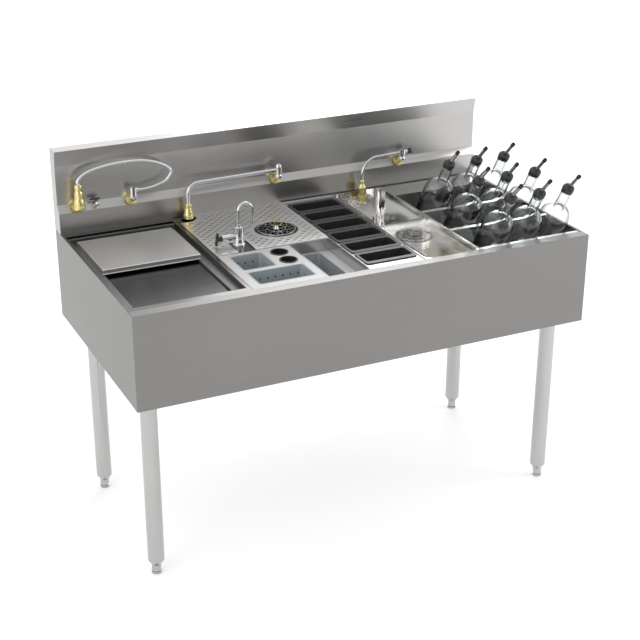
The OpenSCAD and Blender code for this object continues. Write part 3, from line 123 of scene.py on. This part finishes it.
def surface(name, colour, rough, grain, cloud=(5, 5, 5), vary=0.05, relief=0.1, depth=0.0002,
            **fixed):
    """Principled material: fine grain in its relief and gloss, soft clouds in its colour."""
    made = bpy.data.materials.new(name)
    made.use_nodes = True
    tree = made.node_tree
    shader = tree.nodes["Principled BSDF"]
    fine = noise(tree, grain)
    soft = noise(tree, cloud, 2.0)
    blend = add(tree, "ShaderNodeMath", {0: fine, 1: soft}, operation="ADD").outputs[0]
    half = add(tree, "ShaderNodeMath", {0: blend, 1: 0.5}, operation="MULTIPLY").outputs[0]
    dark = [c * (1 - vary) for c in colour]
    light = [min(1.0, c * (1 + vary)) for c in colour]
    tree.links.new(tones(tree, spread(tree, half, 0, 1), dark, light),
                   shader.inputs["Base Color"])
    tree.links.new(spread(tree, half, *rough), shader.inputs["Roughness"])
    bump = add(tree, "ShaderNodeBump", {"Height": fine, "Strength": relief, "Distance": depth})
    tree.links.new(bump.outputs["Normal"], shader.inputs["Normal"])
    for key, value in fixed.items():
        shader.inputs[key.replace("_", " ")].default_value = value
    return made


# Brushed sheet has its grain along one axis: few cells along it, many across
ALONG_X, ALONG_Y, ALONG_Z = (7, 650, 650), (650, 7, 650), (650, 650, 7)
FINE = (90, 90, 90)
# Painted light and shade: the casing, side panel, backsplash, deck, drainboard, rack, bin mouth,
# sink and rear ice cover greys below are one stainless sheet, each given its own grey for the
# light and reflection it gets where it lies: darkest in the ice bin's mouth, dark on the casing
# and its side panels, paler on the backsplash, decks, rear ice cover, drainboard, sink and rack
DECK = (0.60, 0.595, 0.585)
casing_x = surface("casing_sheet_x", (0.240, 0.235, 0.230), (0.29, 0.36), ALONG_X, (2, 2, 3),
                   vary=0.07, Metallic=1.0)
casing_y = surface("casing_sheet_y", (0.205, 0.202, 0.198), (0.29, 0.36), ALONG_Y, (2, 2, 3),
                   vary=0.05, Metallic=1.0)
splash = surface("splash_sheet", (0.49, 0.48, 0.47), (0.27, 0.34), ALONG_X, (3, 3, 7),
                 vary=0.07, Metallic=1.0)
deck_x = surface("deck_sheet_x", DECK, (0.20, 0.28), ALONG_X, vary=0.03, Metallic=1.0)
deck_y = surface("deck_sheet_y", (0.82, 0.81, 0.80), (0.30, 0.42), ALONG_Y, vary=0.03,
                 Metallic=1.0)
rack = surface("rack_sheet", (0.92, 0.915, 0.90), (0.18, 0.26), ALONG_X, Metallic=1.0)
mouth = surface("bin_sheet", (0.165, 0.162, 0.158), (0.16, 0.24), ALONG_Y, vary=0.05,
                relief=0.05, Metallic=1.0)
basin = surface("drawn_basin", (0.90, 0.895, 0.88), (0.06, 0.12), (60, 60, 60), relief=0.03,
                Metallic=1.0)
hidden_steel = surface("mill_steel", (0.22, 0.22, 0.22), (0.38, 0.5), ALONG_Y, Metallic=1.0)
cover_pale = surface("cover_satin", (0.76, 0.755, 0.74), (0.30, 0.40), FINE, vary=0.03,
                     relief=0.03, Metallic=1.0)
cover_dark = surface("cover_dark", (0.108, 0.108, 0.108), (0.2, 0.28), FINE, vary=0.05,
                     relief=0.03, Metallic=1.0)
tube = surface("polished_tube", (0.48, 0.48, 0.475), (0.16, 0.22), ALONG_Z, Metallic=1.0)
chrome = surface("chrome", (0.62, 0.62, 0.63), (0.03, 0.08), FINE, vary=0.02,
                 relief=0.02, Metallic=1.0)
brass = surface("cast_brass", (0.72, 0.62, 0.28), (0.2, 0.34), (260, 260, 260), vary=0.1,
                relief=0.15, Metallic=1.0)
hose_steel = surface("hose_steel", (0.70, 0.70, 0.70), (0.18, 0.28), (500, 500, 500),
                     Metallic=1.0)
black = surface("black_plastic", (0.02, 0.02, 0.022), (0.3, 0.42), (900, 900, 900), vary=0.2)
pan_black = surface("pan_plastic", (0.03, 0.03, 0.031), (0.22, 0.32), (700, 700, 700),
                    vary=0.2)
bin_grey = surface("bin_plastic", (0.34, 0.38, 0.40), (0.36, 0.48), (800, 800, 800), vary=0.06)
foam = surface("foam", (0.74, 0.73, 0.66), (0.7, 0.85), (420, 420, 420), vary=0.08, relief=0.6,
               depth=0.001)
panel_grey = surface("insert_panel", (0.50, 0.50, 0.49), (0.4, 0.5), ALONG_Y, Metallic=0.6)
glass = surface("clear_glass", (0.93, 0.95, 0.95), (0.0, 0.02), (8, 8, 8), vary=0.03,
                relief=0.02, Transmission_Weight=1.0, IOR=1.45)


def edge_tint(made, start, full, dark):
    """Darkens glass where it is seen edge on, as a thick wall does."""
    tree = made.node_tree
    colour = tree.nodes["Principled BSDF"].inputs["Base Color"]
    face_on = colour.links[0].from_socket
    facing = add(tree, "ShaderNodeLayerWeight", {"Blend": 0.5}).outputs["Facing"]
    share = add(tree, "ShaderNodeMapRange", {"Value": facing, "From Min": start,
                                             "From Max": full}).outputs["Result"]
    mixed = add(tree, "ShaderNodeMixRGB", {"Fac": share, "Color1": face_on,
                                           "Color2": (dark, dark, dark, 1)})
    tree.links.new(mixed.outputs[0], colour)


edge_tint(glass, start=0.45, full=0.82, dark=0.05)


def painted_light_and_shade_box(made, low, high, tone):
    """Another grey on what lies in a box, from low to high in metres of the object: painted shade
    where it is darker, painted light where it is paler.
    """
    tree = made.node_tree
    colour = tree.nodes["Principled BSDF"].inputs["Base Color"]
    plain = colour.links[0].from_socket
    place = add(tree, "ShaderNodeTexCoord").outputs["Object"]
    axes = add(tree, "ShaderNodeSeparateXYZ", {0: place}).outputs
    share = 1.0
    for axis, (a, b) in enumerate(zip(low, high)):
        for edge, sense in ((a, "GREATER_THAN"), (b, "LESS_THAN")):
            side = add(tree, "ShaderNodeMath", {0: axes[axis], 1: edge}, operation=sense)
            share = add(tree, "ShaderNodeMath", {0: side.outputs[0], 1: share},
                        operation="MULTIPLY").outputs[0]
    mixed = add(tree, "ShaderNodeMixRGB", {"Fac": share, "Color1": plain,
                                           "Color2": (tone, tone, tone, 1)})
    tree.links.new(mixed.outputs[0], colour)


BASIN_PAINTED_SHADE = ((-0.35, -0.35, 0.4), (-0.105, 0.5, 0.722))
TRAY_FLANGE_PAINTED_LIGHT = ((-1.0, -1.0, 0.6955), (1.0, 1.0, 1.0))

# Painted shade: the tool basin's steel is coloured near black behind the bins, where the light
# doesn't reach
tool_steel = surface("tool_basin_sheet", DECK, (0.20, 0.28), ALONG_X, vary=0.03, Metallic=1.0)
painted_light_and_shade_box(tool_steel, *BASIN_PAINTED_SHADE, tone=0.04)
# Painted light: the plain tray's flange is coloured paler than its inside, as its top catches more
# light
tray_grey = surface("tray_plastic", (0.36, 0.40, 0.42), (0.36, 0.48), (800, 800, 800), vary=0.06)
painted_light_and_shade_box(tray_grey, *TRAY_FLANGE_PAINTED_LIGHT, tone=0.50)

# Which nodes of the frame wear each material
PANS = tuple(f"garnish_pan_{i}" for i in range(1, 7))
DRESS = {
    casing_x: ("front_panel", "rear_panel"),
    casing_y: ("left_side_panel", "right_side_panel"),
    splash: ("backsplash",),
    deck_x: ("pan_carrier", "well_liner"),
    tool_steel: ("tool_basin",),
    rack: ("bottle_rack",),
    deck_y: ("drainboard",),
    mouth: ("ice_bin_liner", "drain_basin", "rinser_body"),
    basin: ("sink_bowl",),
    hidden_steel: ("frame_members", "ice_cover_tracks"),
    cover_pale: ("ice_cover_rear",),
    cover_dark: ("ice_cover_front",),
    tube: ("leg_tubes", "foot_front_left", "foot_front_right", "foot_rear_left",
           "foot_rear_right", "waste_outlets"),
    chrome: ("faucet_bodies", "middle_spout", "middle_knob", "right_spout", "gooseneck_spout",
             "sink_strainer", "rinser_star"),
    brass: ("brass_fittings", "middle_nozzle", "right_nozzle"),
    black: ("filler_lever", "right_knob", "gooseneck_handle", "cup_pair"),
    pan_black: PANS,
    bin_grey: ("square_bin", "wide_bin"),
    tray_grey: ("plain_tray",),
    foam: ("ice_bin_jacket",),
    panel_grey: ("tool_panel",),
}
for material, names in DRESS.items():
    for name in names:
        for held in frame["nodes"][name].material_slots:
            held.material = material

# Rounded edges, in millimetres: folded sheet shows its bend as a thin bright line
EDGES = {
    0.9: ("front_panel", "left_side_panel", "right_side_panel", "rear_panel", "backsplash"),
    0.5: ("pan_carrier", "well_liner", "bottle_rack", "tool_basin", "ice_bin_liner",
          "ice_cover_tracks", "ice_cover_rear", "ice_cover_front", "tool_panel",
          "square_bin", "wide_bin", "plain_tray", "sink_bowl",
          "brass_fittings", "filler_lever", "gooseneck_handle", *PANS),
    0.25: ("drainboard", "rinser_star", "sink_strainer"),
}
WELD_GAP = 1e-5
ROUNDED_OVER, SHARP_OVER = math.radians(40), math.radians(35)


def soften(node, width):
    """A rounded edge on a node's sharp corners, as bending or casting leaves it."""
    weld = node.modifiers.new("weld", "WELD")
    weld.merge_threshold = WELD_GAP
    bevel = node.modifiers.new("edge", "BEVEL")
    bevel.width = width * MM
    bevel.segments = 2
    bevel.limit_method = "ANGLE"
    bevel.angle_limit = ROUNDED_OVER
    bevel.harden_normals = True


for width, names in EDGES.items():
    for name in names:
        soften(frame["nodes"][name], width)


# ---- Meshes ----

def piece(name, mesh, material, body, slot, *nodes):
    """Links a mesh as a piece that rides on a body, and stands for the nodes named."""
    made = bpy.data.objects.new(name, mesh)
    bpy.context.scene.collection.objects.link(made)
    mesh.materials.append(material)
    mesh.shade_smooth()
    mesh.set_sharp_from_angle(angle=SHARP_OVER)
    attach(made, body)
    if nodes:
        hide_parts(*nodes)


def rings_mesh(name, rings):
    """Quads between neighbouring rings of points; a ring of one point closes to a tip."""
    bm = bmesh.new()
    rows = [[bm.verts.new(p) for p in ring] for ring in rings]
    for a, b in zip(rows, rows[1:]):
        count = max(len(a), len(b))
        for k in range(count):
            j = (k + 1) % count
            corners = [a[k % len(a)], a[j % len(a)], b[j % len(b)], b[k % len(b)]]
            unique = list(dict.fromkeys(corners))
            if len(unique) > 2:
                bm.faces.new(unique)
    bmesh.ops.recalc_face_normals(bm, faces=bm.faces)
    mesh = bpy.data.meshes.new(name)
    bm.to_mesh(mesh)
    bm.free()
    return mesh


GLASS_SIDES, STOPPER_SIDES, TUBE_SIDES = 64, 48, 32


def lathe(name, profile, place, sides):
    """A profile of (r, z) millimetres turned about z, then placed by a matrix in metres."""
    rings = []
    for r, z in profile:
        turns = sides if r > 0 else 1
        rings.append([place @ Vector((
            r * MM * math.cos(2 * math.pi * k / turns),
            r * MM * math.sin(2 * math.pi * k / turns), z * MM)) for k in range(turns)])
    return rings_mesh(name, rings)


# ---- Bottles: blown glass, a stopper and a bent pouring tube ----

LEAN, POUR_BEND = math.radians(30), math.radians(14)
BODY_R, BODY_H, SHOULDER_H, NECK_R, NECK_H = 40.0, 178.0, 40.0, 14.0, 62.0
WALL, STOPPER_R, STOPPER_H = 2.2, 15.5, 14.0
POUR_R, POUR_LEN, TIP_LEN = 4.7, 55.0, 8.0
SEAT = 0.2
TOP = BODY_H + SHOULDER_H + NECK_H
BOTTLE_COUNT, BOTTLES_A_ROW = 9, 3
ROW_STEP, BOTTLE_PITCH, ROW_X = 149.5, 84.5, 1069.5
FIRST_BASE_Y, BASE_Z = 157.81, 612.04


def dome(r, z0, h, to, steps=14):
    """Shoulder from radius r at z0 up to radius `to`, as a quarter of an ellipse."""
    return [(to + (r - to) * math.cos(a), z0 + h * math.sin(a))
            for a in (math.pi / 2 * i / steps for i in range(steps + 1))]


def glass_profile():
    """Foot, outside, lip, inside and floor of a bottle, as one line of (r, z)."""
    inner, bore = BODY_R - WALL, NECK_R - WALL
    foot = [(0, 6), (14, 5.4), (24, 3.4), (31, 0.8), (33.5, 0), (36.5, 0.2), (38.8, 1.6),
            (39.8, 4), (BODY_R, 8)]
    lip = [(NECK_R, TOP - 9), (NECK_R + 1, TOP - 8), (NECK_R + 1, TOP - 1.5),
           (NECK_R, TOP), (bore + 0.8, TOP), (bore, TOP - 1)]
    inside = dome(inner, BODY_H, SHOULDER_H - WALL, bore)[::-1]
    base = [(inner, 14), (inner - 2, 9), (28, 6.6), (16, 8), (0, 9.5)]
    return foot + dome(BODY_R, BODY_H, SHOULDER_H, NECK_R) + lip + inside + base


def bottle(i):
    """Bottle i, leaning forward in its row, with its stopper, pouring tube and black tip."""
    row, column = divmod(i - 1, BOTTLES_A_ROW)
    body = f"bottle_{i}"
    place = Matrix.Translation(at(
        ROW_X + (column - 1) * BOTTLE_PITCH, FIRST_BASE_Y + row * ROW_STEP,
        BASE_Z)) @ Matrix.Rotation(LEAN, 4, "X")
    piece(f"bottle_glass_{i}", lathe("glass", glass_profile(), place, GLASS_SIDES), glass,
          body, "bottle_glass", f"bottle_{i}")
    plug = NECK_R - WALL - SEAT
    cap = [(0, -5), (plug - 1, -5), (plug - 0.6, -4), (plug, -1), (plug, 0.2),
           (STOPPER_R - 0.6, 0.2), (STOPPER_R, 0.8), (STOPPER_R, 4), (STOPPER_R - 0.7, 4.5),
           (STOPPER_R - 0.7, 5.5), (STOPPER_R, 6), (STOPPER_R, 10), (STOPPER_R - 1.6, 12.4),
           (STOPPER_R - 4, 13.8), (POUR_R + 2.2, STOPPER_H), (POUR_R + 1, STOPPER_H - 0.6),
           (0, STOPPER_H - 0.6)]
    lift = place @ Matrix.Translation((0, 0, TOP * MM))
    piece(f"stopper_{i}", lathe("stopper", cap, lift, STOPPER_SIDES), black, body,
          "black_trim")
    bent = place @ Matrix.Translation(
        (0, 0, (TOP + SEAT + STOPPER_H - POUR_R) * MM)) @ Matrix.Rotation(POUR_BEND, 4, "X")
    end = POUR_LEN + POUR_R
    spout = [(0, 0), (POUR_R, 0), (POUR_R, end - TIP_LEN), (POUR_R - 1, end - TIP_LEN),
             (0, end - TIP_LEN)]
    tip_r = POUR_R + 0.6
    tip = [(POUR_R + 0.02, end - TIP_LEN - 1), (tip_r, end - TIP_LEN - 0.4),
           (tip_r, end - 1), (tip_r - 0.8, end), (POUR_R - 1.4, end),
           (POUR_R - 1.6, end - 3), (0, end - 3)]
    piece(f"pour_tube_{i}", lathe("pour_tube", spout, bent, TUBE_SIDES), chrome, body,
          "tube_steel")
    piece(f"pour_tip_{i}", lathe("pour_tip", tip, bent, TUBE_SIDES), black, body,
          "black_trim")


for number in range(1, BOTTLE_COUNT + 1):
    bottle(number)


# ---- Filler hose: corrugated steel, held from the parked nozzle to the left elbow ----

POST_Y, NOZZLE_TOP, OUTLET = 551.13, (49.0, 864.92), (206.0, 828.9)
HOSE_R, HOSE_RIDGE, HOSE_PITCH, HOSE_SIDES = 4.5, 0.35, 3.2, 20
CURVE_STEPS, RINGS_A_RIDGE = 24, 4
HOSE_ROUTE = [Vector((NOZZLE_TOP[0] + x, NOZZLE_TOP[1] + z)) for x, z in (
    (0, 0), (0, 9), (11, 20), (28, 29), (56, 36), (95, 41), (134, 42), (168, 40), (200, 33),
    (226, 22), (242, 10))] + [Vector((OUTLET[0] + x, OUTLET[1] + z)) for x, z in (
        (90, 35), (84, 24), (72, 13), (46, 4), (20, 0), (9, 0), (0, 0))]


def curve_point(p, i, u):
    """Smooth curve through p[i] and p[i + 1]."""
    a, b, c, d = p[max(i - 1, 0)], p[i], p[i + 1], p[min(i + 2, len(p) - 1)]
    return b + (c - a) * u / 2 + (2 * a - 5 * b + 4 * c - d) * u * u / 2 + (
        3 * b - a - 3 * c + d) * u ** 3 / 2


def even(points, step):
    """Points a step apart along a polyline."""
    out, run = [points[0]], 0.0
    for a, b in zip(points, points[1:]):
        length = (b - a).length
        while run + length >= step:
            a = a + (b - a) * ((step - run) / length)
            out.append(a)
            length, run = (b - a).length, 0.0
        run += length
    return out + [points[-1]]


def hose():
    """The hose along its route, with a ridge at each pitch. It starts upward and ends leftward."""
    dense = [curve_point(HOSE_ROUTE, i, u / CURVE_STEPS)
             for i in range(len(HOSE_ROUTE) - 1) for u in range(CURVE_STEPS)]
    path = even(dense + [HOSE_ROUTE[-1]], HOSE_PITCH / RINGS_A_RIDGE)
    last = len(path) - 1
    rings = []
    for i, p in enumerate(path):
        if i == 0:
            way = Vector((0, 1))
        elif i == last:
            way = Vector((-1, 0))
        else:
            way = (path[i + 1] - path[i - 1]).normalized()
        wave = math.cos(2 * math.pi * i / RINGS_A_RIDGE)
        r = HOSE_R - HOSE_RIDGE / 2 + HOSE_RIDGE / 2 * wave
        rings.append([at(p[0] - way[1] * r * math.cos(a), POST_Y + r * math.sin(a),
                         p[1] + way[0] * r * math.cos(a))
                      for a in (2 * math.pi * k / HOSE_SIDES for k in range(HOSE_SIDES))])
    rings = [[sum(rings[0], Vector()) / HOSE_SIDES]] + rings + [
        [sum(rings[-1], Vector()) / HOSE_SIDES]]
    piece("filler_hose", rings_mesh("filler_hose", rings), hose_steel, "station",
          "tube_steel", "filler_tube")


hose()


# ---- Floor, world and lamps ----

FLOOR_HALF = 14.0
FLOOR_TONE, FLOOR_GLOW = 0.80, 0.30
# Studio walls by the way they lie: a direction, where the wall fades in, and how much it adds
WORLD_BASE = 0.70
WORLD_WALLS = (
    ((-0.95, -0.25, 0.15), 0.55, 0.95, 0.55),
    ((0.45, 0.85, 0.35), 0.80, 0.97, 0.60),
    ((0.0, 0.2, 1.0), 0.30, 0.90, 0.35),
    ((0.15, -1.0, 0.0), 0.75, 1.00, -0.25),
)


def seen_white(tree):
    """1 for a ray from the camera, or one that metal or glass sends on to the background."""
    path = add(tree, "ShaderNodeLightPath").outputs
    both = add(tree, "ShaderNodeMath", {0: path["Is Camera Ray"], 1: path["Is Glossy Ray"]},
               operation="MAXIMUM")
    return add(tree, "ShaderNodeMath", {0: both.outputs[0], 1: path["Is Transmission Ray"]},
               operation="MAXIMUM").outputs[0]


def floor():
    """A large matt floor that glows a little where it is seen, so that it meets the white."""
    made = bpy.data.materials.new("studio_floor")
    made.use_nodes = True
    tree = made.node_tree
    paint = tree.nodes["Principled BSDF"]
    paint.inputs["Base Color"].default_value = (FLOOR_TONE, FLOOR_TONE, FLOOR_TONE, 1)
    paint.inputs["Roughness"].default_value = 0.95
    paint.inputs["Specular IOR Level"].default_value = 0.1
    glow = add(tree, "ShaderNodeMath", {0: seen_white(tree), 1: FLOOR_GLOW},
               operation="MULTIPLY")
    light = add(tree, "ShaderNodeEmission", {"Strength": glow.outputs[0]})
    both = add(tree, "ShaderNodeAddShader", {0: paint.outputs[0], 1: light.outputs[0]})
    tree.links.new(both.outputs[0], tree.nodes["Material Output"].inputs["Surface"])
    bm = bmesh.new()
    bm.faces.new([bm.verts.new((x, y, 0)) for x, y in (
        (-FLOOR_HALF, -FLOOR_HALF), (FLOOR_HALF, -FLOOR_HALF), (FLOOR_HALF, FLOOR_HALF),
        (-FLOOR_HALF, FLOOR_HALF))])
    mesh = bpy.data.meshes.new("floor")
    bm.to_mesh(mesh)
    bm.free()
    mesh.materials.append(made)
    plane = bpy.data.objects.new("floor", mesh)
    bpy.context.scene.collection.objects.link(plane)


def world():
    """White where the camera sees it; elsewhere walls of light for the metal to mirror."""
    made = bpy.data.worlds.new("studio")
    made.use_nodes = True
    bpy.context.scene.world = made
    tree = made.node_tree
    shade = tree.nodes["Background"]
    shade.inputs["Color"].default_value = (1, 1, 1, 1)
    way = add(tree, "ShaderNodeTexCoord").outputs["Generated"]
    total = WORLD_BASE
    for toward, start, full, amount in WORLD_WALLS:
        facing = add(tree, "ShaderNodeVectorMath", {
            0: way, 1: Vector(toward).normalized()}, operation="DOT_PRODUCT").outputs["Value"]
        wall = add(tree, "ShaderNodeMapRange", {
            "Value": facing, "From Min": start, "From Max": full, "To Min": 0.0,
            "To Max": amount}, interpolation_type="SMOOTHSTEP").outputs["Result"]
        total = add(tree, "ShaderNodeMath", {0: wall, 1: total}).outputs[0]
    camera_ray = add(tree, "ShaderNodeLightPath").outputs["Is Camera Ray"]
    value = add(tree, "ShaderNodeMixRGB", {"Fac": camera_ray, "Color1": total,
                                           "Color2": (1, 1, 1, 1)})
    tree.links.new(value.outputs[0], shade.inputs["Strength"])


def lamp(name, place, target, size, watts):
    """Softbox at a place, turned to a target, in metres and watts."""
    data = bpy.data.lights.new(name, "AREA")
    data.shape = "RECTANGLE"
    data.size, data.size_y = size
    data.energy = watts
    made = bpy.data.objects.new(name, data)
    made.location = place
    made.rotation_mode = "QUATERNION"
    made.rotation_quaternion = (Vector(target) - Vector(place)).to_track_quat("-Z", "Y")
    bpy.context.scene.collection.objects.link(made)


floor()
world()
lamp("key", place=(-3.0, -1.6, 1.5), target=(0, 0, 0.5), size=(1.6, 2.6), watts=14)
lamp("right", place=(3.4, -1.4, 1.4), target=(0, 0, 0.5), size=(1.6, 2.0), watts=30)
lamp("rear", place=(1.6, 2.9, 2.3), target=(0, 0, 0.7), size=(1.6, 1.4), watts=22)
